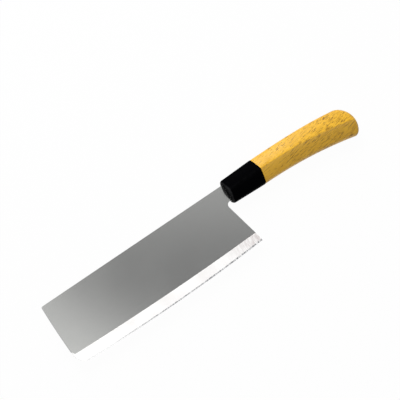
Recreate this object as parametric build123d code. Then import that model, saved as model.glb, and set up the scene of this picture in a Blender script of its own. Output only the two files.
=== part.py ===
from build123d import *
import math
import os

# A light Chinese cleaver with a hidden tang. Every length is in millimetres.
# It is drawn with x along the spine from the front edge to the butt, y up from the spine, so that
# the cutting edge lies at negative y, and z across the thickness, with zero in mid blade.

# blade: one steel sheet
blade_length = 185.0          # along the spine, from the front edge to the collar's mouth
blade_thickness = 2.0
front_bow = 0.65              # how far the front edge bulges past its own ends
spine_corner_radius = 1.4
front_corner_radius = 11.0
front_edge_depth = 53.3       # from the spine down to the cutting edge, at the front
heel_edge_depth = 54.1        # the same at the heel
edge_bow = 2.6                # belly of the cutting edge below its own ends
heel_lean_angle = 13.5        # degrees that the heel leans back, away from square to the spine
heel_tip_radius = 0.6
neck_height = 14.0
neck_length = 7.0             # bare neck between the heel and the collar
notch_radius = 3.2            # inner corner between the heel and the neck

# ground faces of the edge, alike on both sides
bevel_front_depth = 44.25     # from the spine down to the line where the grinding starts
bevel_heel_depth = 45.95
bevel_bow = 1.6
bevel_foot_thickness = 0.5    # left where the wide grinding meets the sharpened strip
sharpened_front_width = 0.6
sharpened_heel_width = 1.4
edge_land = 0.1               # flat left on the very edge

# tang, inside the handle
tang_thickness = 1.8          # the buried end is ground thinner, so the sides stop at the collar's mouth
neck_insertion = 3.0          # how far the neck's full height goes into the collar
tang_length = 76.0            # from the collar's mouth to the tang's tip
tang_root_height = 9.0
tang_tip_height = 6.5
tang_corner_radius = 1.5
glue_hole_radius = 1.8
glue_hole_count = 2
glue_hole_pitch = 22.0
glue_hole_setback = 16.0      # from the tang's tip to the last hole's centre

# handle: outer form, shared by collar and grip
ferrule_length = 32.0
grip_length = 98.5            # from the collar to the far end of the butt
mouth_crown = 3.3             # top of the collar above the spine, at its mouth
mouth_ridge = 6.3             # side ridge below the spine, at the mouth
mouth_sole = 17.4             # underside below the spine, at the mouth
mouth_half_width = 8.6        # half the handle's thickness over the ridges, at the mouth
joint_crown = 4.2             # the same four sizes where collar and grip meet
joint_ridge = 6.1
joint_sole = 18.6
joint_half_width = 9.9
grip_step = 0.15              # how far the collar stands proud of the wood at the joint
butt_crown_fall = 5.6         # how far each line of the grip has dropped at the butt
butt_ridge_fall = 10.0
butt_sole_fall = 10.5
butt_half_width = 10.6

# each line runs straight near the collar and bends down later: a power of the way along
crown_bend_power = 2.8
ridge_bend_power = 2.15
sole_bend_power = 2.1
grip_station_shares = (0.0, 0.2, 0.4, 0.6, 0.8, 0.95, 1.1)

# cross-section of the handle, as shares of its own height and half width
crown_width_share = 0.26      # half the rounded top
crown_drop_share = 0.065      # depth of that rounding, of the height above the ridge
sole_width_share = 0.43       # half the rounded underside
sole_rise_share = 0.115       # depth of that rounding, of the height below the ridge
upper_facet_bulge_share = 0.04
lower_facet_bulge_share = 0.08
ridge_radius = 2.0
shoulder_radius = 1.5
mouth_rim_radius = 1.6

# butt end, seen from the side of the knife
butt_top_setback = 9.0        # upper corner of the domed end, back from the far end
butt_heel_setback = 4.2       # lower corner
butt_side_radius = 17.0       # dome of the same end, seen from above the spine
butt_rim_radius = 2.2

# inside the handle
mouth_wall = 3.5              # front wall of the collar, with the neck's slot in it
neck_clearance = 0.15
tenon_radius = 6.5
tenon_clearance = 0.1
tenon_end_gap = 0.5
resin_side = 0.5              # resin on each flat of the tang
resin_edge = 0.6              # resin above and below the tang at its root
resin_end = 2.0               # resin past the tang's tip

overrun = 5.0                 # how far a cutting tool runs past what it cuts

# places that follow from the sizes above
half_thickness = blade_thickness / 2
tang_half = tang_thickness / 2
foot_half = bevel_foot_thickness / 2
land_half = edge_land / 2
heel_lean = math.tan(math.radians(heel_lean_angle))
heel_top_x = blade_length - neck_length
heel_tip_x = heel_top_x + (heel_edge_depth - neck_height) * heel_lean
tang_axis_y = -neck_height / 2
shoulder_x = blade_length + neck_insertion
tang_tip_x = blade_length + tang_length
joint_x = blade_length + ferrule_length
butt_x = joint_x + grip_length
handle_axis_y = (joint_crown - joint_sole) / 2
socket_floor_x = blade_length + mouth_wall
tenon_end_x = socket_floor_x + tenon_end_gap
slot_height = tang_root_height + 2 * resin_edge
slot_width = tang_thickness + 2 * resin_side
slot_end_x = tang_tip_x + resin_end


def nearest_vertex(shape, x, y):
    """The corner of a flat shape that lies nearest to (x, y)."""
    return shape.vertices().sort_by_distance((x, y, 0))[0]


def sheet_outline():
    """Side view of the blade alone, from the front edge to the heel and the notch."""
    front_foot = (0, -front_edge_depth)
    heel_tip = (heel_tip_x, -heel_edge_depth)
    notch = (heel_top_x, -neck_height)
    lines = SagittaArc(front_foot, (0, 0), front_bow)
    lines += Polyline((0, 0), (blade_length, 0), (blade_length, -neck_height), notch, heel_tip)
    lines += SagittaArc(heel_tip, front_foot, edge_bow)
    outline = make_face(lines)
    outline = fillet(nearest_vertex(outline, 0, 0), spine_corner_radius)
    outline = fillet(nearest_vertex(outline, *front_foot), front_corner_radius)
    outline = fillet(nearest_vertex(outline, *heel_tip), heel_tip_radius)
    return fillet(nearest_vertex(outline, *notch), notch_radius)


def ground_slice(front_depth, heel_depth, bow, height):
    """Outline of the ground blade at one height above its middle, wider than the blade all round."""
    belly = SagittaArc((0, -front_depth), (heel_tip_x, -heel_depth), -bow)
    centre, radius = belly.arc_center, belly.radius
    first = math.degrees(math.atan2(-front_depth - centre.Y, -centre.X - overrun))
    last = math.degrees(math.atan2(-heel_depth - centre.Y, heel_tip_x + overrun - centre.X))
    arc = CenterArc(centre, radius, first, last - first)
    start, end = arc @ 0, arc @ 1
    lines = arc + Polyline(end, (end.X, overrun), (start.X, overrun), start)
    return Pos(0, 0, height) * make_face(lines)


def ground_blank():
    """Plate with the ground faces of both sides, larger than the blade everywhere but at its edge."""
    foot_front = front_edge_depth - sharpened_front_width
    foot_heel = heel_edge_depth - sharpened_heel_width
    land = ground_slice(front_edge_depth, heel_edge_depth, edge_bow, 0)
    edge = ground_slice(front_edge_depth, heel_edge_depth, edge_bow, land_half)
    foot = ground_slice(foot_front, foot_heel, edge_bow, foot_half)
    face = ground_slice(bevel_front_depth, bevel_heel_depth, bevel_bow, half_thickness)
    upper = extrude(land, land_half) + loft([edge, foot], ruled=True) + loft([foot, face], ruled=True)
    return upper + mirror(upper, about=Plane.XY)


def tang_outline():
    """Side view of the buried neck and the tang."""
    neck = Pos(blade_length, 0) * Rectangle(neck_insertion, neck_height, align=(Align.MIN, Align.MAX))
    root_half, tip_half = tang_root_height / 2, tang_tip_height / 2
    tang = make_face(Polyline(
        (shoulder_x, tang_axis_y - root_half),
        (tang_tip_x, tang_axis_y - tip_half),
        (tang_tip_x, tang_axis_y + tip_half),
        (shoulder_x, tang_axis_y + root_half),
        close=True,
    ))
    tip_corners = tang.vertices().group_by(Axis.X)[-1]
    tang = fillet(tip_corners, tang_corner_radius)
    for index in range(glue_hole_count):
        hole_x = tang_tip_x - glue_hole_setback - index * glue_hole_pitch
        tang -= Pos(hole_x, tang_axis_y) * Circle(glue_hole_radius)
    return neck + tang


def build_blade():
    """Steel sheet with its ground edge, neck and tang."""
    sheet = extrude(sheet_outline(), half_thickness, both=True) & ground_blank()
    return sheet + extrude(tang_outline(), tang_half, both=True)


def outward_arc(start, end, bulge_share):
    """Arc between two points of a section drawn clockwise, bulging out by a share of its chord."""
    (y_0, z_0), (y_1, z_1) = start, end
    middle = ((y_0 + y_1) / 2 - bulge_share * (z_1 - z_0), (z_0 + z_1) / 2 + bulge_share * (y_1 - y_0))
    return ThreePointArc(start, middle, end)


def handle_section(x, crown, ridge, sole, half_width):
    """Section of the handle square to x: rounded top and underside, and a ridge on each side.

    crown is the height above the spine, and ridge and sole are depths below it.
    """
    shoulder_y = crown - crown_drop_share * (crown + ridge)
    shoulder_z = crown_width_share * half_width
    foot_y = -sole + sole_rise_share * (sole - ridge)
    foot_z = sole_width_share * half_width
    lines = ThreePointArc((shoulder_y, -shoulder_z), (crown, 0), (shoulder_y, shoulder_z))
    lines += outward_arc((shoulder_y, shoulder_z), (-ridge, half_width), -upper_facet_bulge_share)
    lines += outward_arc((-ridge, half_width), (foot_y, foot_z), -lower_facet_bulge_share)
    lines += ThreePointArc((foot_y, foot_z), (-sole, 0), (foot_y, -foot_z))
    lines += outward_arc((foot_y, -foot_z), (-ridge, -half_width), -lower_facet_bulge_share)
    lines += outward_arc((-ridge, -half_width), (shoulder_y, -shoulder_z), -upper_facet_bulge_share)
    across = Plane(origin=(x, 0, 0), x_dir=(0, 1, 0), z_dir=(1, 0, 0))
    return across * make_face(lines)


def round_long_edges(body, length):
    """Round the ridges and the shoulders that run along the handle."""
    long_edges = body.edges().filter_by(lambda edge: edge.bounding_box().size.X > length / 2)
    by_reach = long_edges.sort_by(lambda edge: abs(edge.center().Z))
    body = fillet(by_reach[-2:], ridge_radius)
    long_edges = body.edges().filter_by(lambda edge: edge.bounding_box().size.X > length / 2)
    by_reach = long_edges.sort_by(lambda edge: abs(edge.center().Z))
    return fillet(by_reach[:2], shoulder_radius)


def build_ferrule():
    """Collar with a slot at its mouth for the neck and a round socket for the grip's tenon."""
    mouth = handle_section(blade_length, mouth_crown, mouth_ridge, mouth_sole, mouth_half_width)
    joint = handle_section(joint_x, joint_crown, joint_ridge, joint_sole, joint_half_width)
    body = round_long_edges(loft([mouth, joint], ruled=True), ferrule_length)
    body = fillet(body.faces().sort_by(Axis.X)[0].edges(), mouth_rim_radius)
    slot = Pos(blade_length - overrun, tang_axis_y) * Box(
        mouth_wall + 2 * overrun,
        neck_height + 2 * neck_clearance,
        tang_thickness + 2 * neck_clearance,
        align=(Align.MIN, Align.CENTER, Align.CENTER),
    )
    socket = Pos(socket_floor_x, handle_axis_y) * Rot(0, 90, 0) * Cylinder(
        tenon_radius + tenon_clearance,
        ferrule_length,
        align=(Align.CENTER, Align.CENTER, Align.MIN),
    )
    return body - slot - socket


def grip_lines(x):
    """Crown height, ridge depth, sole depth and half width of the grip at one place along it."""
    way = (x - joint_x) / grip_length
    crown = joint_crown - grip_step - butt_crown_fall * way**crown_bend_power
    ridge = joint_ridge + butt_ridge_fall * way**ridge_bend_power
    sole = joint_sole - grip_step + butt_sole_fall * way**sole_bend_power
    half_width = joint_half_width - grip_step + (butt_half_width - joint_half_width) * way
    return crown, ridge, sole, half_width


def butt_cutter():
    """What lies past the end of the butt, which is domed both up the knife and across it."""
    top_x = butt_x - butt_top_setback
    heel_x = butt_x - butt_heel_setback
    top = (top_x, grip_lines(top_x)[0])
    heel = (heel_x, -grip_lines(heel_x)[2])
    far_end = (butt_x, (top[1] + heel[1]) / 2)
    outline = ThreePointArc(top, far_end, heel)
    centre, radius = outline.arc_center, outline.radius
    axis_x = butt_x - butt_side_radius
    reach = 2 * radius + overrun
    ahead = Pos(axis_x, centre.Y) * Rectangle(reach, reach, align=(Align.MIN, Align.CENTER))
    dome = revolve((Pos(centre.X, centre.Y) * Circle(radius)) & ahead, axis=Axis((axis_x, 0, 0), (0, 1, 0)))
    block = Pos(axis_x, centre.Y) * Box(reach, reach, reach, align=(Align.MIN, Align.CENTER, Align.CENTER))
    return block - dome


def resin_slot():
    """Space for the tang and its bedding, from the collar's inner wall to the blind end."""
    return Pos(socket_floor_x, tang_axis_y) * Box(
        slot_end_x - socket_floor_x,
        slot_height,
        slot_width,
        align=(Align.MIN, Align.CENTER, Align.CENTER),
    )


def build_grip():
    """Wooden grip with its tenon and the blind slot for the tang."""
    stations = [joint_x + share * grip_length for share in grip_station_shares]
    body = loft([handle_section(x, *grip_lines(x)) for x in stations])
    body = round_long_edges(body, grip_length) - butt_cutter()
    end_edges = body.edges().filter_by(lambda edge: edge.bounding_box().min.X > butt_x - 2 * butt_top_setback)
    rim = end_edges.filter_by(lambda edge: edge.bounding_box().size.Z > edge_land)
    body = fillet(rim, butt_rim_radius)
    tenon = Pos(tenon_end_x, handle_axis_y) * Rot(0, 90, 0) * Cylinder(
        tenon_radius,
        joint_x - tenon_end_x + overrun,
        align=(Align.CENTER, Align.CENTER, Align.MIN),
    )
    return body + tenon - resin_slot()


def build_tang_adhesive(blade):
    """Resin that fills the slot round the tang."""
    return resin_slot() - blade


def build_knife():
    """Every piece by name, with the origin under the middle of the knife as it lies."""
    blade = build_blade()
    pieces = {
        "blade": blade,
        "ferrule": build_ferrule(),
        "grip": build_grip(),
        "tang_adhesive": build_tang_adhesive(blade),
    }
    box = Compound(children=[piece.solid() for piece in pieces.values()]).bounding_box()
    middle = box.center()
    to_origin = Pos(-middle.X, -middle.Y, -box.min.Z)
    return {name: to_origin * piece for name, piece in pieces.items()}


os.makedirs("parts", exist_ok=True)
for piece_name, piece in build_knife().items():
    export_step(piece, f"parts/{piece_name}.step")
    print(piece_name, round(piece.volume, 2))
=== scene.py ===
"""Looks for a light Chinese cleaver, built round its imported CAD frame."""
import logging
import math
from dataclasses import dataclass, field
from enum import Enum
from typing import ClassVar, Iterable, NamedTuple, Sequence

import bmesh
import bpy
from mathutils import Matrix, Vector


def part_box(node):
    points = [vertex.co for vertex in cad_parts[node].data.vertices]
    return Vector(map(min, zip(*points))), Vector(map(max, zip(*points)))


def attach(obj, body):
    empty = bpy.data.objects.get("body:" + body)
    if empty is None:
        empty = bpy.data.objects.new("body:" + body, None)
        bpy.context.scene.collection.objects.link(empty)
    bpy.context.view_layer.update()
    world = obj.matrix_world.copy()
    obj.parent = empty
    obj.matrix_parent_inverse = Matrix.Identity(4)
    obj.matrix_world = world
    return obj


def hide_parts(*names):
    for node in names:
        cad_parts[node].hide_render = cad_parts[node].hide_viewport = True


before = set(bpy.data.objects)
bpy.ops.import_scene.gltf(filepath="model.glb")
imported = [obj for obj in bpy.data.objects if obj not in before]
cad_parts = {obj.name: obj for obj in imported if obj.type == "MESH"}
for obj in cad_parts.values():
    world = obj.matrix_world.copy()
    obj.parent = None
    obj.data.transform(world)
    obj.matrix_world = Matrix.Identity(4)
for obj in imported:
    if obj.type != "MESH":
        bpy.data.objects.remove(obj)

MM = 0.001
LOG = logging.getLogger("cleaver")

Tree = bpy.types.NodeTree
Node = bpy.types.Node
Socket = bpy.types.NodeSocket
Sockets = bpy.types.bpy_prop_collection
Material = bpy.types.Material
Piece = bpy.types.Object
BMesh = bmesh.types.BMesh
Colour = tuple[float, float, float, float]
Value = float | int | Sequence[float] | Socket


# Shader graphs

class Graph:
    """Node tree of one material or group, with short calls that add and join nodes."""

    def __init__(self, tree: Tree) -> None:
        """Work on one node tree."""
        self.tree = tree
        self.placed = 0

    def add(self, kind: str, inputs: dict[str | int, Value] | None = None, **settings: object) -> Node:
        """Add one node, with its settings, values and incoming links.

        Args:
            kind: Blender's name for the node type.
            inputs: a value or a source socket for each input, by name or number.
            settings: the node's own options.

        Returns:
            The new node.
        """
        node = self.tree.nodes.new(kind)
        for name, setting in settings.items():
            setattr(node, name, setting)
        self.wire(node, inputs or {})
        node.location = (220 * (self.placed // 5), -190 * (self.placed % 5))
        self.placed += 1
        return node

    def feed(self, socket: Socket, value: Value) -> None:
        """Link a source to an input, or set the input's own value."""
        if isinstance(value, Socket):
            self.tree.links.new(value, socket)
        else:
            socket.default_value = value

    def wire(self, node: Node, inputs: dict[str | int, Value]) -> None:
        """Feed several inputs of one node."""
        for key, value in inputs.items():
            self.feed(node.inputs[key], value)

    def math(self, operation: str, *values: Value, clamp: bool = False) -> Socket:
        """Put one arithmetic step on numbers and return its result."""
        inputs = dict(enumerate(values))
        return self.add("ShaderNodeMath", inputs, operation=operation, use_clamp=clamp).outputs[0]

    def times(self, value: Value, share: Value) -> Socket:
        """Multiply two numbers."""
        return self.math("MULTIPLY", value, share)

    def lifted(self, base: Value, value: Value, share: Value, clamp: bool = False) -> Socket:
        """Add a share of a value to a base."""
        return self.math("MULTIPLY_ADD", value, share, base, clamp=clamp)

    def ramp(self, value: Value, low: Value, high: Value, start: float = 0.0, end: float = 1.0) -> Socket:
        """Turn a value between low and high smoothly into one between start and end."""
        inputs = {0: value, 1: low, 2: high, 3: start, 4: end}
        return self.add("ShaderNodeMapRange", inputs, interpolation_type="SMOOTHSTEP").outputs[0]

    def mix(self, share: Value, first: Value, second: Value) -> Socket:
        """Blend two colours and return the result."""
        inputs = {0: share, 6: first, 7: second}
        return self.add("ShaderNodeMix", inputs, data_type="RGBA", blend_type="MIX").outputs[2]

    def noise(self, place: Value, detail: float, roughness: float) -> Socket:
        """Put a soft random pattern at a place and return its height."""
        inputs = {"Vector": place, "Scale": 1.0, "Detail": detail, "Roughness": roughness}
        return self.add("ShaderNodeTexNoise", inputs).outputs[0]

    def wear_and_glint(self) -> Socket:
        """How much the piece is rubbed here, as its own vertices say; on the collar the same share also
        places a painted highlight.
        """
        return self.add("ShaderNodeAttribute", attribute_name="wear_and_highlight").outputs["Fac"]

    def bump(self, height: Value, depth: float, strength: float, under: Value | None = None) -> Socket:
        """Turn a height pattern into a normal.

        Args:
            height: pattern from 0 to 1.
            depth: full height of the relief in millimetres.
            strength: share of that relief, from 0 to 1.
            under: normal of a coarser relief below this one.

        Returns:
            The normal.
        """
        inputs: dict[str | int, Value] = {"Strength": strength, "Distance": depth * MM, "Height": height}
        if under is not None:
            inputs["Normal"] = under
        return self.add("ShaderNodeBump", inputs).outputs["Normal"]

    def drawing_place(self, datum: "Datum") -> Socket:
        """Place on the piece in the drawing's own millimetres, from the object's coordinates."""
        place = self.add("ShaderNodeTexCoord").outputs["Object"]
        return self.mapped(place, Location=tuple(-part / MM for part in datum.origin), Scale=(1 / MM,) * 3)

    def mapped(self, place: Value, **how: Value) -> Socket:
        """Shift, turn or scale a place."""
        return self.add("ShaderNodeMapping", {"Vector": place, **how}, vector_type="POINT").outputs[0]

    def turned(self, place: Value, *degrees: float) -> Socket:
        """Turn a pattern's place by three angles about X, Y and Z."""
        return self.mapped(place, Rotation=tuple(math.radians(angle) for angle in degrees))

    def parts(self, place: Value) -> tuple[Socket, ...]:
        """Split a place into its three numbers."""
        return tuple(self.add("ShaderNodeSeparateXYZ", {0: place}).outputs)

    def squeezed(self, place: Sequence[Value], *sizes: Value) -> Socket:
        """Divide the three numbers of a place by a size each, and join them again."""
        shares = {axis: self.math("DIVIDE", place[axis], size) for axis, size in enumerate(sizes)}
        return self.add("ShaderNodeCombineXYZ", shares).outputs[0]


class Pattern(Enum):
    """Surface patterns that several finishes share."""

    LINES = "fine_lines"
    PATCHES = "broad_patches"
    FLECKS = "short_flecks"
    TOOTH = "fine_tooth"


PATTERN_SIZES: dict[Pattern, dict[str, float]] = {
    Pattern.LINES: {"Width": 0.3, "Length": 20.0, "Waver": 0.0},
    Pattern.PATCHES: {"Size": 20.0, "Low": 0.35, "High": 0.65},
    Pattern.FLECKS: {"Length": 5.0, "Width": 0.5, "Depth": 0.5, "Limit": 0.62},
    Pattern.TOOTH: {"Size": 0.3},
}


@dataclass
class PatternShelf:
    """Builds each shared pattern once, as a node group, and places it in finishes."""

    drift_sizes: tuple[float, float, float] = (18.0, 9.0, 9.0)
    fleck_fade: float = 0.05
    groups: dict[Pattern, Tree] = field(default_factory=dict)

    def place(self, graph: Graph, pattern: Pattern, **inputs: Value) -> Socket:
        """Put a pattern into a finish.

        Args:
            graph: the finish's graph.
            pattern: which pattern.
            inputs: the group's inputs.

        Returns:
            The group's only output.
        """
        if pattern not in self.groups:
            self.groups[pattern] = self._group(pattern)
        node = graph.add("ShaderNodeGroup", node_tree=self.groups[pattern])
        graph.wire(node, inputs)
        return node.outputs[0]

    def _group(self, pattern: Pattern) -> Tree:
        """Build a pattern's group, which takes a place and sizes and puts out a height or a mask."""
        tree = bpy.data.node_groups.new(pattern.value, "ShaderNodeTree")
        tree.interface.new_socket("Place", in_out="INPUT", socket_type="NodeSocketVector")
        for size, usual in PATTERN_SIZES[pattern].items():
            socket = tree.interface.new_socket(size, in_out="INPUT", socket_type="NodeSocketFloat")
            socket.default_value = usual
        result = "Height" if pattern in (Pattern.LINES, Pattern.TOOTH) else "Mask"
        tree.interface.new_socket(result, in_out="OUTPUT", socket_type="NodeSocketFloat")
        graph = Graph(tree)
        given, end = graph.add("NodeGroupInput"), graph.add("NodeGroupOutput")
        graph.feed(end.inputs[result], getattr(self, f"_{pattern.value}")(graph, given.outputs))
        return tree

    def _fine_lines(self, graph: Graph, given: Sockets) -> Socket:
        """Fine lines along X, as from a grinding belt or wood fibres."""
        x, y, z = graph.parts(given["Place"])
        drift = graph.noise(graph.squeezed((x, y, z), *self.drift_sizes), 1.0, 0.5)
        sway = graph.times(graph.math("SUBTRACT", drift, 0.5), given["Waver"])
        swayed = (x, graph.math("ADD", y, sway), z)
        place = graph.squeezed(swayed, given["Length"], given["Width"], given["Width"])
        return graph.ramp(graph.noise(place, 2.0, 0.65), 0.25, 0.75)

    def _broad_patches(self, graph: Graph, given: Sockets) -> Socket:
        """Soft uneven patches, such as handling marks or a change of tone."""
        place = graph.squeezed(graph.parts(given["Place"]), *(given["Size"],) * 3)
        return graph.ramp(graph.noise(place, 3.0, 0.55), given["Low"], given["High"])

    def _short_flecks(self, graph: Graph, given: Sockets) -> Socket:
        """Scattered short marks along X, such as open pores or scratches."""
        sizes = given["Length"], given["Width"], given["Depth"]
        place = graph.squeezed(graph.parts(given["Place"]), *sizes)
        top = graph.math("ADD", given["Limit"], self.fleck_fade)
        return graph.ramp(graph.noise(place, 1.0, 0.4), given["Limit"], top)

    def _fine_tooth(self, graph: Graph, given: Sockets) -> Socket:
        """Small even bumps, such as a moulding's skin or the flow of a lacquer."""
        place = graph.squeezed(graph.parts(given["Place"]), *(given["Size"],) * 3)
        return graph.noise(place, 2.0, 0.5)


# Finishes

@dataclass(frozen=True)
class Finish:
    """What every finish has: a name and a way to become a material."""

    name: str

    def material(self, shelf: PatternShelf, datum: "Datum") -> Material:
        """Build the material.

        Args:
            shelf: the shared patterns.
            datum: the drawing's zero point.

        Returns:
            The material.
        """
        material = bpy.data.materials.new(self.name)
        material.use_nodes = True
        graph = Graph(material.node_tree)
        shader = material.node_tree.nodes["Principled BSDF"]
        graph.wire(shader, self._inputs(shelf, graph, graph.drawing_place(datum)))
        return material

    def _inputs(self, shelf: PatternShelf, graph: Graph, place: Socket) -> dict[str, Value]:
        """What the surface shader is fed at a place on the piece."""
        raise NotImplementedError(self.name)


@dataclass(frozen=True)
class Steel(Finish):
    """Bare stainless steel with the lines of its last grinding."""

    pale: Colour = (0.60, 0.605, 0.60, 1.0)
    dull: Colour = (0.54, 0.545, 0.54, 1.0)
    roughness: float = 0.17
    line_width: float = 0.12
    line_length: float = 40.0
    line_turn: float = 0.0
    line_depth: float = 0.004
    line_strength: float = 0.25
    line_contrast: float = 0.10
    line_roughness: float = 0.03
    mark_contrast: float = 0.35
    mark_roughness: float = 0.02
    quiet_share: float = 1.0
    lively_x: tuple[float, float] = (0.0, 1.0)

    def _inputs(self, shelf: PatternShelf, graph: Graph, place: Socket) -> dict[str, Value]:
        """Lines of the grinding, with broad handling marks under them."""
        along = graph.turned(place, 0.0, 0.0, self.line_turn)
        lines = shelf.place(graph, Pattern.LINES, Place=along, Width=self.line_width, Length=self.line_length)
        marks = shelf.place(graph, Pattern.PATCHES, Place=place, Size=34.0, Low=0.30, High=0.75)
        liveliness = graph.ramp(graph.parts(place)[0], *self.lively_x, self.quiet_share, 1.0)
        contrast = graph.times(graph.times(lines, self.line_contrast), liveliness)
        share = graph.lifted(contrast, marks, self.mark_contrast, clamp=True)
        rough = graph.lifted(self.roughness, marks, self.mark_roughness)
        return {
            "Base Color": graph.mix(share, self.pale, self.dull),
            "Roughness": graph.lifted(rough, lines, self.line_roughness),
            "Normal": graph.bump(lines, self.line_depth, self.line_strength),
            "Metallic": 1.0,
        }


@dataclass(frozen=True)
class MouldedPlastic(Finish):
    """Black moulded plastic with a fine skin, a little polished where hands reach, and paler there as a
    painted highlight.
    """

    colour: Colour = (0.0002, 0.0002, 0.0006, 1.0)
    # painted highlight colour, grey, for the glinting line on the mouth's rim and the rubbed ridges
    wear_and_glint: Colour = (0.02, 0.02, 0.022, 1.0)
    roughness: float = 0.40
    mark_roughness: float = 0.10
    rubbed_roughness: float = -0.14
    least_rub_and_glint: float = 0.3
    sheen_level: float = 0.006
    rubbed_sheen: float = 0.03
    skin_depth: float = 0.012
    skin_strength: float = 0.35

    def _inputs(self, shelf: PatternShelf, graph: Graph, place: Socket) -> dict[str, Value]:
        """A fine skin, smoother where it is rubbed; paler there as a painted highlight, a grey glinting line
        on the mouth's rim and a faint sheen on the ridges.
        """
        wear_and_highlight = graph.wear_and_glint()
        marks = shelf.place(graph, Pattern.PATCHES, Place=place, Size=4.0)
        skin = shelf.place(graph, Pattern.TOOTH, Place=place, Size=0.22)
        rubbed_and_glinting = graph.times(wear_and_highlight, graph.lifted(self.least_rub_and_glint, marks, 1 - self.least_rub_and_glint))
        rough = graph.lifted(self.roughness, marks, self.mark_roughness)
        return {
            # the paler colour on rubbed places is a painted highlight; the smoother roughness and the
            # stronger specular below are the real polish
            "Base Color": graph.mix(rubbed_and_glinting, self.colour, self.wear_and_glint),
            "Roughness": graph.lifted(rough, rubbed_and_glinting, self.rubbed_roughness),
            "Normal": graph.bump(skin, self.skin_depth, self.skin_strength),
            "Specular IOR Level": graph.lifted(self.sheen_level, rubbed_and_glinting, self.rubbed_sheen),
        }


@dataclass(frozen=True)
class LacqueredWood(Finish):
    """Yellow close-grained wood with dark open pores under a thin satin lacquer."""

    early: Colour = (0.95, 0.54, 0.035, 1.0)
    late: Colour = (0.70, 0.36, 0.012, 1.0)
    pore: Colour = (0.18, 0.07, 0.004, 1.0)
    grain_lean: float = 4.0
    grain_turn: float = -12.0
    hair_turn: float = 5.0
    fibre_share: float = 0.40
    band_share: float = 0.30
    tone_share: float = 0.20
    pore_start: float = 228.0
    pore_full: float = 262.0
    least_pores: float = 0.12
    bold_limits: tuple[float, float] = (0.68, -0.10)
    hair_limits: tuple[float, float] = (0.69, -0.09)
    hair_strength: float = 0.75
    pore_strength: float = 0.85
    roughness: float = 0.40
    pore_roughness: float = 0.1
    tone_roughness: float = 0.06
    worn_roughness: float = -0.08
    flow_depth: float = 0.10
    flow_strength: float = 0.25
    grain_depth: float = 0.04
    grain_strength: float = 0.3
    fibre_height: float = 0.25

    def _inputs(self, shelf: PatternShelf, graph: Graph, place: Socket) -> dict[str, Value]:
        """Fibres and bands of the grain, open pores, and the slow flow of the lacquer."""
        grain = graph.turned(place, 0.0, self.grain_lean, self.grain_turn)
        fibres = shelf.place(graph, Pattern.LINES, Place=grain, Width=1.3, Length=24.0, Waver=2.0)
        bands = shelf.place(graph, Pattern.LINES, Place=grain, Width=5.0, Length=70.0, Waver=4.0)
        tone = shelf.place(graph, Pattern.PATCHES, Place=place, Size=17.0, Low=0.3, High=0.7)
        share = graph.lifted(graph.times(bands, self.band_share), fibres, self.fibre_share)
        share = graph.lifted(share, tone, self.tone_share, clamp=True)
        wood = graph.mix(share, self.early, self.late)
        pores = self._pores(shelf, graph, place, grain)
        rough = graph.lifted(self.roughness, pores, self.pore_roughness)
        rough = graph.lifted(rough, tone, self.tone_roughness)
        flow = shelf.place(graph, Pattern.TOOTH, Place=place, Size=4.0)
        lacquer = graph.bump(flow, self.flow_depth, self.flow_strength)
        sunk = graph.math("SUBTRACT", graph.times(fibres, self.fibre_height), pores)
        return {
            "Base Color": graph.mix(graph.times(pores, self.pore_strength), wood, self.pore),
            "Roughness": graph.lifted(rough, graph.wear_and_glint(), self.worn_roughness),
            "Normal": graph.bump(sunk, self.grain_depth, self.grain_strength, lacquer),
            "Specular IOR Level": 0.1,
            "Coat Weight": 0.5,
            "Coat Roughness": 0.28,
        }

    def _pores(self, shelf: PatternShelf, graph: Graph, place: Socket, grain: Socket) -> Socket:
        """Mask of the open pores, which crowd together from the middle of the grip to its butt."""
        x = graph.parts(place)[0]
        toward_butt = graph.ramp(x, self.pore_start, self.pore_full, self.least_pores, 1.0)
        crowd = shelf.place(graph, Pattern.PATCHES, Place=place, Size=13.0, Low=0.30, High=0.66)
        base, drop = self.bold_limits
        limit = graph.lifted(base, graph.times(crowd, toward_butt), drop)
        bold = shelf.place(graph, Pattern.FLECKS, Place=grain, Length=8.5, Width=0.6, Depth=2.2, Limit=limit)
        finer = graph.turned(grain, 0.0, 0.0, self.hair_turn)
        base, drop = self.hair_limits
        limit = graph.lifted(base, toward_butt, drop)
        hairs = shelf.place(graph, Pattern.FLECKS, Place=finer, Length=6.0, Width=0.4, Depth=1.6, Limit=limit)
        return graph.math("MAXIMUM", bold, graph.times(hairs, self.hair_strength))


@dataclass(frozen=True)
class CastResin(Finish):
    """Set resin with a little unevenness and fine air flecks."""

    clear: Colour = (0.58, 0.44, 0.22, 1.0)
    cloudy: Colour = (0.48, 0.36, 0.18, 1.0)
    roughness: float = 0.12
    air_roughness: float = 0.3
    air_depth: float = 0.05
    air_strength: float = 0.4

    def _inputs(self, shelf: PatternShelf, graph: Graph, place: Socket) -> dict[str, Value]:
        """Cloudy colour with rough flecks of air."""
        cloud = shelf.place(graph, Pattern.PATCHES, Place=place, Size=6.0)
        air = shelf.place(graph, Pattern.FLECKS, Place=place, Length=0.7, Width=0.5, Depth=0.5, Limit=0.68)
        return {
            "Base Color": graph.mix(cloud, self.clear, self.cloudy),
            "Roughness": graph.lifted(self.roughness, air, self.air_roughness),
            "Normal": graph.bump(air, self.air_depth, self.air_strength),
        }


# Pieces

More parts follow.
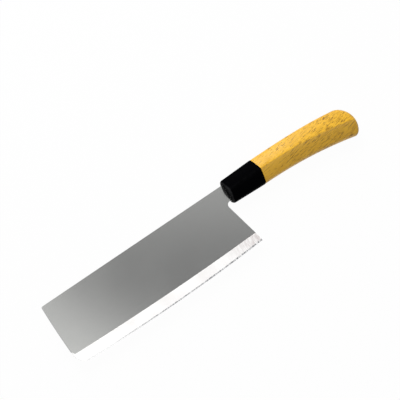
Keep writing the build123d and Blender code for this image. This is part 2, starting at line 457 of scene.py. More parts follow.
@dataclass(frozen=True)
class Datum:
    """Zero point of the drawing in the frame: on the spine, at the front, in mid thickness."""

    origin: tuple[float, float, float]

    @classmethod
    def from_frame(cls, blade_length: float) -> "Datum":
        """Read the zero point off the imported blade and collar."""
        blade_low, blade_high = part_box("blade")
        collar_low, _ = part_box("ferrule")
        return cls((collar_low[0] - blade_length * MM, blade_high[1], (blade_low[2] + blade_high[2]) / 2))

    def matrix(self) -> Matrix:
        """Transform from the drawing's millimetres to the frame's metres."""
        return Matrix.Translation(self.origin) @ Matrix.Diagonal((MM, MM, MM, 1.0))


def mark_creases(mesh: BMesh, least_degrees: float) -> None:
    """Shade all faces smooth, with a crease wherever two of them meet more sharply than given."""
    for face in mesh.faces:
        face.smooth = True
    for edge in mesh.edges:
        if len(edge.link_faces) == 2:
            turn = math.degrees(edge.calc_face_angle(0.0))
            two_finishes = edge.link_faces[0].material_index != edge.link_faces[1].material_index
            edge.smooth = turn < least_degrees and not two_finishes


def linked(name: str, data: bpy.types.ID) -> Piece:
    """Put a new object with the given data into the scene."""
    piece = bpy.data.objects.new(name, data)
    bpy.context.collection.objects.link(piece)
    return piece


def mesh_object(name: str, mesh: BMesh) -> Piece:
    """Put a mesh into the scene as a new object, and free it."""
    data = bpy.data.meshes.new(name)
    mesh.to_mesh(data)
    mesh.free()
    return linked(name, data)


class Label(NamedTuple):
    """What a piece is called, the CAD node that it stands for and the record's material slot."""

    name: str
    node: str
    slot: str


def finished_object(mesh: BMesh, label: Label, materials: Iterable[Material], datum: Datum) -> Piece:
    """Turn a mesh drawn in millimetres into a piece of the scene.

    Args:
        mesh: the mesh, which is freed.
        label: its name, node and slot.
        materials: its materials, in the order of the faces' numbers.
        datum: the drawing's zero point.

    Returns:
        The new object.
    """
    name, node, slot = label
    bmesh.ops.transform(mesh, matrix=datum.matrix(), verts=mesh.verts)
    bmesh.ops.recalc_face_normals(mesh, faces=mesh.faces)
    piece = mesh_object(name, mesh)
    for material in materials:
        piece.data.materials.append(material)
    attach(piece, "root")
    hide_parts(node)
    LOG.info("%s: %d faces", name, len(piece.data.polygons))
    return piece


class BladeZone(Enum):
    """Parts of the blade that are finished differently, with their material numbers."""

    SIDE = 0
    GROUND = 1
    SHARPENED = 2
    RIM = 3


@dataclass
class Blade:
    """The steel sheet with its ground edge, neck and tang. Sizes are in millimetres."""

    label: ClassVar[Label] = Label("blade_steel", "blade", "blade_steel")

    length: float = 185.0
    thickness: float = 2.0
    front_bow: float = 0.63
    front_bow_reach: float = 30.0
    spine_corner_reach: float = 1.4
    front_corner_reach: float = 9.2
    front_edge_depth: float = 53.3
    heel_edge_depth: float = 54.1
    edge_bow: float = 2.6
    heel_lean_angle: float = 13.5
    heel_tip_reach: float = 0.6
    neck_height: float = 14.0
    neck_length: float = 7.0
    notch_reach: float = 4.06
    bevel_front_depth: float = 44.25
    bevel_heel_depth: float = 45.95
    bevel_bow: float = 1.6
    bow_start_depth: float = 20.0
    foot_thickness: float = 0.5
    sharpened_front_width: float = 0.6
    sharpened_heel_width: float = 1.4
    edge_land: float = 0.1
    tang_thickness: float = 1.8
    thinning_run: float = 0.4
    neck_insertion: float = 3.0
    tang_length: float = 76.0
    tang_root_height: float = 9.0
    tang_tip_height: float = 6.5
    column_pitch: float = 3.5
    row_pitch: float = 3.0
    fine_pitch: float = 0.8
    fine_columns: int = 3
    edge_softening: float = 0.05
    square_angle: float = 60.0
    thick_share: float = 0.4
    level_tolerance: float = 0.3
    flat_normal: float = 0.9
    crease_angle: float = 15.0
    # how far above the bevel's line the front corner's edge faces take the pale ground finish: ground steel,
    # and a painted highlight
    burial_margin: float = 1.0
    corner_polish_and_highlight: float = 1.5
    corner_turn: float = 2.2
    corner_turn_reach: float = 1.8
    corner_turn_hold: float = 1.2

    @property
    def heel_top_x(self) -> float:
        """Where the heel meets the neck."""
        return self.length - self.neck_length

    @property
    def heel_tip_x(self) -> float:
        """The rearmost point of the cutting edge."""
        lean = math.tan(math.radians(self.heel_lean_angle))
        return self.heel_top_x + (self.heel_edge_depth - self.neck_height) * lean

    def _depth(self, front: float, heel: float, x: float) -> float:
        """Depth below the spine, at x, of a straight line from the front to the heel."""
        return front + (heel - front) * x / self.heel_tip_x

    def _lines(self, x: float) -> tuple[float, float, float]:
        """Depths at x of the bevel's line, the sharpened strip's line and the edge, before any bow."""
        return (
            self._depth(self.bevel_front_depth, self.bevel_heel_depth, x),
            self._depth(self.front_edge_depth - self.sharpened_front_width,
                        self.heel_edge_depth - self.sharpened_heel_width, x),
            self._depth(self.front_edge_depth, self.heel_edge_depth, x),
        )

    def _buried(self, x: float, depth: float) -> bool:
        """Whether a place lies inside the collar or the grip."""
        return x > self.length and depth < self.neck_height + self.burial_margin

    def _half_thickness(self, x: float, depth: float) -> float:
        """Half of the sheet's thickness at one place, before the bow."""
        if self._buried(x, depth):
            return self.tang_thickness / 2
        line, foot, edge = self._lines(x)
        full, low, land = self.thickness / 2, self.foot_thickness / 2, self.edge_land / 2
        if depth <= line:
            return full
        if depth <= foot:
            return full + (low - full) * (depth - line) / (foot - line)
        return low + (land - low) * min(1.0, (depth - foot) / (edge - foot))

    def _bowed(self, point: Vector) -> Vector:
        """Bow a place on the straight blank: the edge's belly, the front's bulge, the turned-up bevel."""
        depth = -point.y
        line, foot, _ = self._lines(point.x)
        way = 2 * point.x / self.heel_tip_x - 1
        if depth < line:
            reach = max(0.0, (depth - self.bow_start_depth) / (line - self.bow_start_depth))
            belly = self.bevel_bow * reach
        else:
            reach = min(1.0, (depth - line) / (foot - line))
            belly = self.bevel_bow + (self.edge_bow - self.bevel_bow) * reach
        hold = min(1.0, max(0.0, self.corner_turn_hold - abs(depth - line) / self.corner_turn_reach))
        turn_up = self.corner_turn * max(0.0, 1 - point.x / self.corner_turn_reach) ** 2 * hold
        rise = 1 - (1 - 2 * depth / self.front_edge_depth) ** 2
        bulge = self.front_bow * rise * max(0.0, 1 - point.x / self.front_bow_reach)
        return Vector((point.x - bulge, point.y + turn_up - belly * max(0.0, 1 - way * way), point.z))

    def _sheet(self) -> BMesh:
        """Flat straight blank with its rounded corners."""
        shoulder, tip = self.length + self.neck_insertion, self.length + self.tang_length
        axis = -self.neck_height / 2
        root, end = self.tang_root_height / 2, self.tang_tip_height / 2
        mesh = bmesh.new()
        corners = [mesh.verts.new((x, y, 0.0)) for x, y in (
            (0.0, 0.0), (shoulder, 0.0), (shoulder, axis + root), (tip, axis + end), (tip, axis - end),
            (shoulder, axis - root), (shoulder, -self.neck_height), (self.heel_top_x, -self.neck_height),
            (self.heel_tip_x, -self.heel_edge_depth), (0.0, -self.front_edge_depth),
        )]
        mesh.faces.new(corners)
        reaches = ((0, self.spine_corner_reach, 4), (7, self.notch_reach, 8), (8, self.heel_tip_reach, 3),
                   (9, self.front_corner_reach, 12))
        for index, reach, steps in reaches:
            bmesh.ops.bevel(mesh, geom=[corners[index]], offset=reach, offset_type="OFFSET", segments=steps,
                            profile=0.5, affect="VERTICES", material=-1, clamp_overlap=False)
        return mesh

    def _cut(self, mesh: BMesh, place: tuple[float, float], normal: tuple[float, float]) -> None:
        """Score the flat blank along a straight line."""
        everything = [*mesh.verts, *mesh.edges, *mesh.faces]
        bmesh.ops.bisect_plane(mesh, geom=everything, dist=1e-4, plane_co=(*place, 0.0),
                               plane_no=(*normal, 0.0))

    def _score(self, mesh: BMesh) -> None:
        """Score the lines where the thickness changes, and the columns and rows that let the outline bow."""
        first, last = self._lines(0.0), self._lines(self.heel_tip_x)
        for front, heel in zip(first[:2], last[:2]):
            self._cut(mesh, (0.0, -front), (heel - front, self.heel_tip_x))
        columns = round(self.length / self.column_pitch)
        for index in range(1, columns + 1):
            self._cut(mesh, (self.length * index / columns, 0.0), (1.0, 0.0))
        for index in range(1, self.fine_columns + 1):
            self._cut(mesh, (self.fine_pitch * index, 0.0), (1.0, 0.0))
        rows = round(self.bevel_front_depth / self.row_pitch)
        for index in range(1, rows):
            share = index / rows
            self._cut(mesh, (0.0, -self.bevel_front_depth * share),
                      ((self.bevel_heel_depth - self.bevel_front_depth) * share, self.heel_tip_x))
        self._cut(mesh, (self.length + self.thinning_run, 0.0), (1.0, 0.0))

    def _thicken(self, mesh: BMesh) -> None:
        """Raise the flat blank to its thickness on both sides."""
        grown = bmesh.ops.extrude_face_region(mesh, geom=mesh.faces[:])["geom"]
        upper = {part for part in grown if isinstance(part, bmesh.types.BMVert)}
        for vert in mesh.verts:
            half = self._half_thickness(vert.co.x, -vert.co.y)
            vert.co.z = half if vert in upper else -half
        bmesh.ops.recalc_face_normals(mesh, faces=mesh.faces)

    def _soften(self, mesh: BMesh) -> None:
        """Take the sharpness off the long edges of the spine, the front, the heel and the neck."""
        edges = []
        for edge in mesh.edges:
            thick = all(abs(vert.co.z) > self.thickness * self.thick_share for vert in edge.verts)
            turn = math.degrees(edge.calc_face_angle(0.0)) if len(edge.link_faces) == 2 else 0.0
            level = abs(edge.verts[0].co.z - edge.verts[1].co.z) < self.level_tolerance
            outside = max(vert.co.x for vert in edge.verts) <= self.length
            if thick and turn > self.square_angle and level and outside:
                edges.append(edge)
        bmesh.ops.bevel(mesh, geom=edges, offset=self.edge_softening, offset_type="OFFSET", segments=2,
                        profile=0.5, affect="EDGES", material=-1, clamp_overlap=True)

    def _zone(self, face: bmesh.types.BMFace) -> BladeZone:
        """Which finish a face takes."""
        centre = face.calc_center_median()
        line, foot, _ = self._lines(centre.x)
        # edge faces of the front corner near the bevel take the pale ground finish: ground steel, and a
        # painted highlight where the corner catches light
        polished_highlit_corner = centre.x < self.front_corner_reach and -centre.y > line - self.corner_polish_and_highlight
        if abs(face.normal.z) < self.flat_normal:
            return BladeZone.GROUND if polished_highlit_corner else BladeZone.RIM
        if -centre.y <= line or self._buried(centre.x, -centre.y):
            return BladeZone.SIDE
        return BladeZone.GROUND if -centre.y <= foot else BladeZone.SHARPENED

    def build(self, finishes: dict[BladeZone, Finish], shelf: PatternShelf, datum: Datum) -> Piece:
        """Model and dress the blade.

        Args:
            finishes: the finish of each zone.
            shelf: the shared patterns.
            datum: the drawing's zero point.

        Returns:
            The blade's object.
        """
        mesh = self._sheet()
        self._score(mesh)
        self._thicken(mesh)
        self._soften(mesh)
        for face in mesh.faces:
            face.material_index = self._zone(face).value
        for vert in mesh.verts:
            vert.co = self._bowed(vert.co)
        mark_creases(mesh, self.crease_angle)
        materials = [finishes[zone].material(shelf, datum) for zone in BladeZone]
        return finished_object(mesh, self.label, materials, datum)


@dataclass(frozen=True)
class Section:
    """The handle's four sizes at one place: crown above the spine, ridge and sole below it, half width."""

    crown: float
    ridge: float
    sole: float
    half_width: float

    def inset(self, by: float) -> "Section":
        """The same section a little smaller all round."""
        return Section(self.crown - by, self.ridge, self.sole - by, self.half_width - by)

    def toward(self, other: "Section", way: float) -> "Section":
        """A section part of the way to another."""
        return Section(*(here + (there - here) * way for here, there in zip(
            (self.crown, self.ridge, self.sole, self.half_width),
            (other.crown, other.ridge, other.sole, other.half_width))))


@dataclass
class HandleForm:
    """Outer form that the collar and the grip share, in millimetres, and shares for its section."""

    blade_length: float = 185.0
    ferrule_length: float = 32.0
    grip_length: float = 98.5
    mouth: Section = Section(3.3, 6.3, 17.4, 8.6)
    joint: Section = Section(4.2, 6.1, 18.6, 9.9)
    grip_step: float = 0.15
    butt_half_width: float = 10.6
    falls: Section = Section(5.6, 10.0, 10.5, 0.0)
    powers: Section = Section(2.8, 2.15, 2.1, 1.0)
    crown_width_share: float = 0.26
    crown_drop_share: float = 0.065
    sole_width_share: float = 0.43
    sole_rise_share: float = 0.115
    upper_bulge_share: float = 0.04
    lower_bulge_share: float = 0.03
    shoulder_reach: float = 0.45
    ridge_reach: float = 0.5
    foot_reach: float = 0.5
    narrow_steps: int = 6
    facet_steps: int = 9
    corner_steps: int = 4
    wear_reach: float = 1.6

    @property
    def joint_x(self) -> float:
        """Where the collar meets the grip."""
        return self.blade_length + self.ferrule_length

    @property
    def butt_x(self) -> float:
        """Far end of the grip."""
        return self.joint_x + self.grip_length

    @property
    def axis_y(self) -> float:
        """Height of the tenon's axis."""
        return (self.joint.crown - self.joint.sole) / 2

    @property
    def ring_count(self) -> int:
        """Number of points in one outline."""
        sides = 2 * (self.narrow_steps + 1) + 4 * (self.facet_steps + 1)
        return sides + 6 * (self.corner_steps - 1)

    def collar_section(self, x: float) -> Section:
        """Section of the collar at x."""
        return self.mouth.toward(self.joint, (x - self.blade_length) / self.ferrule_length)

    def grip_section(self, x: float) -> Section:
        """Section of the grip at x, which bends down toward the butt."""
        way = (x - self.joint_x) / self.grip_length
        return Section(
            self.joint.crown - self.grip_step - self.falls.crown * way ** self.powers.crown,
            self.joint.ridge + self.falls.ridge * way ** self.powers.ridge,
            self.joint.sole - self.grip_step + self.falls.sole * way ** self.powers.sole,
            self.joint.half_width - self.grip_step + (self.butt_half_width - self.joint.half_width) * way,
        )

    def _corners(self, section: Section) -> list[tuple[Vector, float, float, int]]:
        """Corners of a section in (y, z), each with its rounding and the next side's bulge and steps."""
        shoulder_y = section.crown - self.crown_drop_share * (section.crown + section.ridge)
        shoulder_z = self.crown_width_share * section.half_width
        foot_y = -section.sole + self.sole_rise_share * (section.sole - section.ridge)
        foot_z = self.sole_width_share * section.half_width
        crown_bulge = (section.crown - shoulder_y) / (2 * shoulder_z)
        sole_bulge = (foot_y + section.sole) / (2 * foot_z)
        upper, lower = self.upper_bulge_share, self.lower_bulge_share
        return [
            (Vector((shoulder_y, -shoulder_z)), self.shoulder_reach, crown_bulge, self.narrow_steps),
            (Vector((shoulder_y, shoulder_z)), self.shoulder_reach, upper, self.facet_steps),
            (Vector((-section.ridge, section.half_width)), self.ridge_reach, lower, self.facet_steps),
            (Vector((foot_y, foot_z)), self.foot_reach, sole_bulge, self.narrow_steps),
            (Vector((foot_y, -foot_z)), self.foot_reach, lower, self.facet_steps),
            (Vector((-section.ridge, -section.half_width)), self.ridge_reach, upper, self.facet_steps),
        ]

    def outline(self, section: Section) -> list[Vector]:
        """Points round a section, with bowed sides and rounded corners.

        Args:
            section: the four sizes.

        Returns:
            Points in (y, z), always as many and in the same order.
        """
        corners = self._corners(section)
        sides = []
        for index, (start, reach, bulge, steps) in enumerate(corners):
            end, next_reach = corners[(index + 1) % 6][:2]
            chord = end - start
            outward = Vector((chord.y, -chord.x))
            first, last = reach / chord.length, 1 - next_reach / chord.length
            shares = [first + (last - first) * step / steps for step in range(steps + 1)]
            sides.append([start + chord * t + outward * (bulge * 4 * t * (1 - t)) for t in shares])
        points = []
        for index, side in enumerate(sides):
            points += side
            corner, after = corners[(index + 1) % 6][0], sides[(index + 1) % 6][0]
            for step in range(1, self.corner_steps):
                t = step / self.corner_steps
                points.append(side[-1] * (1 - t) ** 2 + corner * (2 * t * (1 - t)) + after * t ** 2)
        return points

    def wear_and_highlight(self, section: Section, point: Vector) -> float:
        """How much hands reach a point of a section: most on the ridges."""
        off_ridge = Vector((point.x + section.ridge, abs(point.y) - section.half_width)).length
        return math.exp(-(off_ridge / self.wear_reach) ** 2)


def quarter_turn(steps: int) -> list[tuple[float, float]]:
    """Steps round a rim of unit radius: how far each is from the start's side and from the end's side."""
    turns = [math.pi / 2 * step / steps for step in range(steps + 1)]
    return [(1 - math.cos(turn), 1 - math.sin(turn)) for turn in turns]


class RingBody:
    """Closed body that grows from a circle of vertices, one ring at a time."""

    def __init__(self, count: int) -> None:
        """Start with a circle of the given number of vertices."""
        self.mesh = bmesh.new()
        # This vertex layer holds how much each place is rubbed; on the collar it also masks a painted
        # highlight.
        self.wear_and_glint = self.mesh.verts.layers.float.new("wear_and_highlight")
        self.ring = list(bmesh.ops.create_circle(self.mesh, segments=count, radius=1.0)["verts"])
        self.first_edges = list(self.mesh.edges)
        self.edges = list(self.mesh.edges)
        self.started = False

    def grow(self, places: Sequence[Vector], wear_and_highlight: Sequence[float] | None = None) -> None:
        """Add a ring.

        Args:
            places: where its vertices go.
            wear_and_highlight: how much each vertex is rubbed, from 0 to 1; on the collar it also places the
                painted highlight.
        """
        if self.started:
            before = set(self.ring)
            grown = bmesh.ops.extrude_edge_only(self.mesh, edges=self.edges)["geom"]
            verts = [part for part in grown if isinstance(part, bmesh.types.BMVert)]
            pair = {edge.other_vert(vert): vert for vert in verts for edge in vert.link_edges
                    if edge.other_vert(vert) in before}
            self.ring = [pair[vert] for vert in self.ring]
            fresh = set(verts)
            self.edges = [part for part in grown if isinstance(part, bmesh.types.BMEdge)
                          and all(vert in fresh for vert in part.verts)]
        self.started = True
        for index, (vert, place) in enumerate(zip(self.ring, places)):
            vert.co = place
            vert[self.wear_and_glint] = wear_and_highlight[index] if wear_and_highlight else 0.0

    def cap(self, at_start: bool = False) -> None:
        """Close the first or the last ring to a point in its middle."""
        edges = self.first_edges if at_start else self.edges
        face = bmesh.ops.contextual_create(self.mesh, geom=edges)["faces"]
        bmesh.ops.poke(self.mesh, faces=face)

    def join_ends(self) -> None:
        """Join the last ring to the first."""
        bmesh.ops.bridge_loops(self.mesh, edges=self.first_edges + self.edges)


@dataclass
class HandlePiece:
    """What the collar and the grip have in common: rings on the handle's form and on plain holes."""

    label: ClassVar[Label]

    form: HandleForm
    slot_clearance: float = 0.15
    mouth_wall: float = 3.5
    crease_angle: float = 35.0

    def build(self, finish: Finish, shelf: PatternShelf, datum: Datum) -> Piece:
        """Model and dress the piece.

        Args:
            finish: what it is made of.
            shelf: the shared patterns.
            datum: the drawing's zero point.

        Returns:
            The piece's object.
        """
        mesh = self._shape().mesh
        bmesh.ops.recalc_face_normals(mesh, faces=mesh.faces)
        mark_creases(mesh, self.crease_angle)
        return finished_object(mesh, self.label, [finish.material(shelf, datum)], datum)

    def _shape(self) -> RingBody:
        """The piece's closed body in millimetres."""
        raise NotImplementedError(self.label.name)

    def round_ring(self, x: float, radius: float) -> list[Vector]:
        """Ring of a round tenon or socket, with each point beside its fellow on the handle's section."""
        axis = Vector((self.form.axis_y, 0.0))
        outward = [(point - axis).normalized() for point in self.form.outline(self.form.joint)]
        return [Vector((x, *(axis + way * radius))) for way in outward]

    def slot_ring(self, x: float, height: float, width: float, axis_y: float) -> list[Vector]:
        """Ring of a flat slot, with four of its points on the slot's corners."""
        half_height, half_width = height / 2, width / 2
        axis = Vector((axis_y, 0.0))
        flat = []
        for point in self.form.outline(self.form.mouth):
            way = point - axis
            flat.append(way / max(abs(way.x) / half_height, abs(way.y) / half_width))
        for up in (1, -1):
            for side in (1, -1):
                corner = Vector((up * half_height, side * half_width))
                nearest = min(range(len(flat)), key=lambda index: (flat[index] - corner).length)
                flat[nearest] = corner
        return [Vector((x, *(axis + point))) for point in flat]


@dataclass
class Ferrule(HandlePiece):
    """The collar: a slot at its mouth for the neck and a round socket for the grip's tenon."""

    label: ClassVar[Label] = Label("collar_plastic", "ferrule", "ferrule_plastic")

    neck_height: float = 14.0
    tang_thickness: float = 1.8
    rim_radius: float = 1.6
    rear_rim_radius: float = 0.25
    # width of the painted highlight line along the mouth's rim, which is also rubbed smoother
    rim_wear_and_glint_reach: float = 0.35
    ridge_wear_and_glint_share: float = 0.08
    socket_radius: float = 6.6
    stations: int = 12
    rim_steps: int = 6

    def _shape(self) -> RingBody:
        """The outside from the joint to the mouth, and back through the slot and the socket."""
        form = self.form
        body = RingBody(form.ring_count)
        for x, inset in self._profile():
            section = form.collar_section(x).inset(inset)
            points = form.outline(section)
            # a narrow ring on the mouth's rim, and a little of the ridges, mark where the collar is rubbed
            # and where its painted highlight goes
            edge = math.exp(-((x - form.blade_length) / self.rim_wear_and_glint_reach) ** 2)
            wear_and_glint = [max(self.ridge_wear_and_glint_share * form.wear_and_highlight(section, point), edge) for point in points]
            body.grow([Vector((x, *point)) for point in points], wear_and_glint)
        mouth_x, floor_x = form.blade_length, form.blade_length + self.mouth_wall
        slot = (self.neck_height + 2 * self.slot_clearance, self.tang_thickness + 2 * self.slot_clearance,
                -self.neck_height / 2)
        body.grow(self.slot_ring(mouth_x, *slot))
        body.grow(self.slot_ring(floor_x, *slot))
        body.grow(self.round_ring(floor_x, self.socket_radius))
        body.grow(self.round_ring(form.joint_x, self.socket_radius))
        body.join_ends()
        return body

    def _profile(self) -> list[tuple[float, float]]:
        """Places along the outside, from the joint to the mouth, each with how far its ring is drawn in."""
        rear, front = self.form.joint_x, self.form.blade_length
        small, large = self.rear_rim_radius, self.rim_radius
        rim = quarter_turn(self.rim_steps)
        profile = [(rear - small * begun, small * left) for begun, left in rim]
        span = rear - small - (front + large)
        profile += [(rear - small - span * step / self.stations, 0.0) for step in range(1, self.stations)]
        return profile + [(front + large * left, large * begun) for begun, left in rim]


@dataclass
class Grip(HandlePiece):
    """The wooden grip with its tenon and the blind slot for the tang."""

    label: ClassVar[Label] = Label("grip_wood", "grip", "grip_wood")

    tenon_radius: float = 6.5
    tenon_end_gap: float = 0.5
    slot_height: float = 10.2
    slot_drop: float = 1.9
    slot_width: float = 2.8
    slot_end: float = 78.0
    top_setback: float = 9.0
    heel_setback: float = 4.2
    side_radius: float = 17.0
    rim_radius: float = 2.2
    front_rim_radius: float = 0.2
    rim_wear: float = 0.6
    stations: int = 44
    front_rim_steps: int = 3
    rim_steps: int = 7
    dome_steps: int = 9
    end_refinements: int = 4

    def _dome(self) -> tuple[float, float, float]:
        """Middle and radius of the domed end's side view."""
        form = self.form
        top_x, heel_x = form.butt_x - self.top_setback, form.butt_x - self.heel_setback
        top = Vector((top_x, form.grip_section(top_x).crown))
        heel = Vector((heel_x, -form.grip_section(heel_x).sole))
        far = Vector((form.butt_x, (top.y + heel.y) / 2))
        ahead, behind = far - top, far - heel
        across = 2 * (ahead.x * behind.y - ahead.y * behind.x)
        x = (behind.y * (far.length_squared - top.length_squared)
             - ahead.y * (far.length_squared - heel.length_squared)) / across
        y = (ahead.x * (far.length_squared - heel.length_squared)
             - behind.x * (far.length_squared - top.length_squared)) / across
        return x, y, (far - Vector((x, y))).length

    def _dome_x(self, point: Vector) -> float:
        """How far along the domed end lies, at a point given as (y, z)."""
        centre_x, centre_y, radius = self._dome()
        axis_x = self.form.butt_x - self.side_radius
        reach = centre_x - axis_x + math.sqrt(max(0.0, radius ** 2 - (point.x - centre_y) ** 2))
        return axis_x + math.sqrt(max(0.0, reach ** 2 - point.y ** 2))

    def _side_ends(self) -> list[float]:
        """For each point round the section, where the straight side gives way to the rounded rim."""
        form = self.form
        ends = [form.butt_x - self.top_setback] * form.ring_count
        for _ in range(self.end_refinements):
            ends = [self._dome_x(form.outline(form.grip_section(x))[index]) - self.rim_radius
                    for index, x in enumerate(ends)]
        return ends

    def _long_sides(self, body: RingBody, ends: Sequence[float]) -> None:
        """Grow the rings from the joint to where the rim begins."""
        form = self.form
        small = self.front_rim_radius
        for begun, left in quarter_turn(self.front_rim_steps):
            x = form.joint_x + small * begun
            section = form.grip_section(x).inset(small * left)
            body.grow([Vector((x, *point)) for point in form.outline(section)])
        start = form.joint_x + small
        for step in range(1, self.stations + 1):
            way = step / self.stations
            places, wear_and_glint = [], []
            for index, end in enumerate(ends):
                x = start + (end - start) * way
                section = form.grip_section(x)
                point = form.outline(section)[index]
                places.append(Vector((x, *point)))
                wear_and_glint.append(form.wear_and_highlight(section, point))
            body.grow(places, wear_and_glint)

    def _rounded_end(self, body: RingBody, ends: Sequence[float]) -> None:
        """Grow the rim and the dome of the butt."""
        form = self.form
        radius = self.rim_radius
        for begun, left in quarter_turn(self.rim_steps)[1:]:
            places = []
            for index, end in enumerate(ends):
                section = form.grip_section(end + radius * (1 - left)).inset(radius * begun)
                point = form.outline(section)[index]
                places.append(Vector((self._dome_x(point) - radius * left, *point)))
            body.grow(places, [self.rim_wear] * len(places))
        rim = [Vector((vert.co.y, vert.co.z)) for vert in body.ring]
        middle = sum(rim, Vector((0.0, 0.0))) / len(rim)
        for step in range(1, self.dome_steps):
            share = 1 - step / self.dome_steps
            points = [middle + (point - middle) * share for point in rim]
            body.grow([Vector((self._dome_x(point), *point)) for point in points])
        body.cap()

    def _shape(self) -> RingBody:
        """The slot from its blind end, out round the tenon, and along the sides to the butt."""
        form = self.form
        body = RingBody(form.ring_count)
        tenon_end = form.blade_length + self.mouth_wall + self.tenon_end_gap
        slot = (self.slot_height, self.slot_width, -self.slot_height / 2 - self.slot_drop)
        body.grow(self.slot_ring(form.blade_length + self.slot_end, *slot))
        body.cap(at_start=True)
        body.grow(self.slot_ring(tenon_end, *slot))
        body.grow(self.round_ring(tenon_end, self.tenon_radius))
        body.grow(self.round_ring(form.joint_x, self.tenon_radius))
        ends = self._side_ends()
        self._long_sides(body, ends)
        self._rounded_end(body, ends)
        return body


@dataclass
class TangBedding:
    """The resin round the tang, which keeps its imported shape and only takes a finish."""

    node: str = "tang_adhesive"

    def dress(self, finish: Finish, shelf: PatternShelf, datum: Datum) -> None:
        """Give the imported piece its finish.

        Args:
            finish: its resin.
            shelf: the shared patterns.
            datum: the drawing's zero point.
        """
        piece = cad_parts[self.node]
        material = finish.material(shelf, datum)
        piece.data.materials.clear()
        piece.data.materials.append(material)
        LOG.info("%s: packed shape kept", self.node)


# Studio

@dataclass(frozen=True)
class Lamp:
    """A soft square lamp: where it stands, where it points, how wide it is and its power."""

    name: str
    place: tuple[float, float, float]
    aim: tuple[float, float, float]
    width: float
    power: float
    colour: tuple[float, float, float] = (1.0, 1.0, 1.0)

    def light(self) -> None:
        """Put the lamp in the scene."""
        data = bpy.data.lights.new(self.name, "AREA")
        data.energy, data.size, data.color = self.power, self.width, self.colour
        way = Vector(self.aim) - Vector(self.place)
        turn = way.to_track_quat("-Z", "Y").to_matrix().to_4x4()
        linked(self.name, data).matrix_world = Matrix.Translation(self.place) @ turn


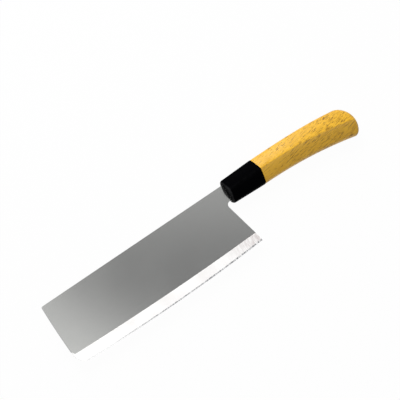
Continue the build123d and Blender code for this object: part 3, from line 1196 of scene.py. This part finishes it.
@dataclass
class Studio:
    """Pale floor, white surroundings, soft lamps and a grey card that only reflections show."""

    floor_width: float = 6.0
    surround_level: float = 0.28
    shadow_share: float = 0.03
    lamps: tuple[Lamp, ...] = (
        Lamp("key_lamp", (-0.25, 1.0, 1.0), (0.02, 0.0, 0.0), 0.7, 12.0),
        Lamp("front_lamp", (0.63, -0.68, 1.19), (0.0, 0.0, 0.0), 0.5, 1.7),
        Lamp("back_lamp", (0.36, 0.95, 0.30), (0.05, 0.0, 0.01), 0.5, 3.0),
    )
    card_height: float = 0.5
    card_width: float = 1.6
    card_low: tuple[float, float] = (-0.10, -0.16)
    card_near: tuple[float, float] = (-0.06, 0.055)
    card_near_slant: float = 0.65
    card_fade: tuple[float, float] = (0.01, 0.105)
    card_slant: float = 0.35
    card_rise: tuple[float, float] = (0.14, 0.33)
    card_rise_slant: float = 2.0
    card_rise_share: float = 0.44
    card_level: float = 0.24

    def _white_when_seen(self, graph: Graph) -> Socket:
        """1 where a camera, glossy or transmission ray arrives, and 0 for light that falls on things."""
        rays = graph.add("ShaderNodeLightPath").outputs
        seen = graph.math("MAXIMUM", rays["Is Camera Ray"], rays["Is Glossy Ray"])
        return graph.math("MAXIMUM", seen, rays["Is Transmission Ray"])

    def surround(self) -> None:
        """White world to look at, and a plain even level of light from it."""
        world = bpy.data.worlds.new("studio_white")
        bpy.context.scene.world = world
        world.use_nodes = True
        graph = Graph(world.node_tree)
        level = self.surround_level
        shade = graph.mix(self._white_when_seen(graph), (level, level, level, 1.0), (1.0, 1.0, 1.0, 1.0))
        background = world.node_tree.nodes["Background"]
        graph.feed(background.inputs["Color"], shade)
        background.inputs["Strength"].default_value = 1.0

    def _sheet(self, name: str, width: float, place: Matrix) -> Piece:
        """Square sheet of the stage, centred on a place and turned with it."""
        mesh = bmesh.new()
        bmesh.ops.create_grid(mesh, x_segments=1, y_segments=1, size=width / 2, matrix=place)
        sheet = mesh_object(name, mesh)
        return sheet

    def _bare_material(self, sheet: Piece, name: str) -> tuple[Graph, Socket]:
        """Give a sheet a material without a shader, and return its graph and the socket for its surface."""
        material = bpy.data.materials.new(name)
        material.use_nodes = True
        nodes = material.node_tree.nodes
        nodes.remove(nodes["Principled BSDF"])
        sheet.data.materials.append(material)
        return Graph(material.node_tree), nodes["Material Output"].inputs["Surface"]

    def floor(self) -> None:
        """White floor that keeps a faint shadow."""
        sheet = self._sheet("studio_floor", self.floor_width, Matrix.Identity(4))
        graph, surface = self._bare_material(sheet, "floor_white")
        paint = graph.add("ShaderNodeBsdfDiffuse", {"Color": (0.95, 0.95, 0.95, 1.0)}).outputs[0]
        glow = graph.add("ShaderNodeEmission", {"Color": (1.0, 1.0, 1.0, 1.0), "Strength": 1.0}).outputs[0]
        share = graph.math("MULTIPLY", self._white_when_seen(graph), 1 - self.shadow_share)
        graph.feed(surface, graph.add("ShaderNodeMixShader", {0: share, 1: paint, 2: glow}).outputs[0])

    def grey_card(self) -> None:
        """Grey card overhead for the blade to reflect: white toward its front, darkest in its middle."""
        half = self.card_width / 2
        low_x, low_y = self.card_low
        place = Matrix.Translation((low_x + half, low_y + half, self.card_height))
        sheet = self._sheet("grey_card", self.card_width, place)
        for ray in ("camera", "diffuse", "shadow", "transmission", "volume_scatter"):
            setattr(sheet, f"visible_{ray}", False)
        graph, surface = self._bare_material(sheet, "card_grey")
        x, y, _ = graph.parts(graph.add("ShaderNodeTexCoord").outputs["Object"])
        front = graph.ramp(graph.math("MULTIPLY_ADD", y, self.card_slant, x), *self.card_fade)
        near = graph.ramp(graph.math("MULTIPLY_ADD", x, self.card_near_slant, y), *self.card_near)
        rise = graph.math("MULTIPLY_ADD", y, self.card_rise_slant, x)
        rear = graph.ramp(rise, *self.card_rise, 1.0, 1.0 - self.card_rise_share)
        share = graph.math("MULTIPLY", graph.math("MULTIPLY", front, near), rear)
        level = self.card_level
        shade = graph.mix(share, (1.0, 1.0, 0.98, 1.0), (level, level, level, 1.0))
        graph.feed(surface, graph.add("ShaderNodeEmission", {"Color": shade, "Strength": 1.0}).outputs[0])

    def build(self) -> None:
        """Set the whole studio up."""
        self.surround()
        self.floor()
        self.grey_card()
        for lamp in self.lamps:
            lamp.light()
        LOG.info("studio: %d lamps", len(self.lamps))


@dataclass(frozen=True)
class PhotoCamera:
    """Camera of the photograph: it leans toward the blade's front and is rolled so that the knife climbs."""

    lean: float = 25.0
    roll: float = 34.0
    distance: float = 2.2
    lens: float = 250.6
    sensor_width: float = 36.0
    far_limit: float = 20.0
    target: tuple[float, float, float] = (0.00419, 0.02609, 0.01038)

    def place(self) -> None:
        """Put the camera in the scene and look through it."""
        lean, roll = math.radians(self.lean), math.radians(self.roll)
        along = Vector((math.cos(lean), 0.0, math.sin(lean)))
        across = Vector((0.0, 1.0, 0.0))
        back = Vector((-math.sin(lean), 0.0, math.cos(lean)))
        right = along * math.cos(roll) - across * math.sin(roll)
        up = along * math.sin(roll) + across * math.cos(roll)
        spot = Vector(self.target) + back * self.distance
        data = bpy.data.cameras.new("photo_camera")
        data.lens, data.sensor_width, data.clip_end = self.lens, self.sensor_width, self.far_limit
        camera = linked("photo_camera", data)
        turn = Matrix((right, up, back)).transposed().to_4x4()
        camera.matrix_world = Matrix.Translation(spot) @ turn
        bpy.context.scene.camera = camera


BLADE_FINISHES: dict[BladeZone, Finish] = {
    BladeZone.SIDE: Steel("satin_steel_side"),
    BladeZone.GROUND: Steel(
        "ground_steel_bevel", pale=(0.98, 0.98, 0.975, 1.0), dull=(0.64, 0.59, 0.585, 1.0), roughness=0.5,
        line_width=0.6, line_length=14.0, line_turn=90.0, line_depth=0.012, line_strength=0.4,
        line_contrast=1.0, quiet_share=0.05, lively_x=(150.0, 186.0)),
    BladeZone.SHARPENED: Steel(
        "sharpened_steel_strip", pale=(0.72, 0.72, 0.72, 1.0), dull=(0.10, 0.10, 0.11, 1.0), roughness=0.34,
        line_width=1.0, line_length=8.0, line_turn=90.0, line_depth=0.01, line_contrast=0.9,
        quiet_share=0.1, lively_x=(10.0, 75.0)),
    BladeZone.RIM: Steel(
        "cut_steel_rim", pale=(0.48, 0.48, 0.48, 1.0), dull=(0.38, 0.38, 0.38, 1.0), roughness=0.42,
        line_width=0.25, line_length=8.0, line_depth=0.008),
}


def main() -> None:
    """Build the knife's looks, the studio and the camera."""
    logging.basicConfig(level=logging.INFO, format="%(name)s %(message)s")
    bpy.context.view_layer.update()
    bpy.context.scene.view_settings.view_transform = "Standard"
    form = HandleForm()
    datum = Datum.from_frame(form.blade_length)
    shelf = PatternShelf()
    Blade().build(BLADE_FINISHES, shelf, datum)
    Ferrule(form).build(MouldedPlastic("moulded_black_plastic"), shelf, datum)
    Grip(form).build(LacqueredWood("lacquered_yellow_wood"), shelf, datum)
    TangBedding().dress(CastResin("cast_resin"), shelf, datum)
    Studio().build()
    PhotoCamera().place()


if __name__ == "__main__":
    main()
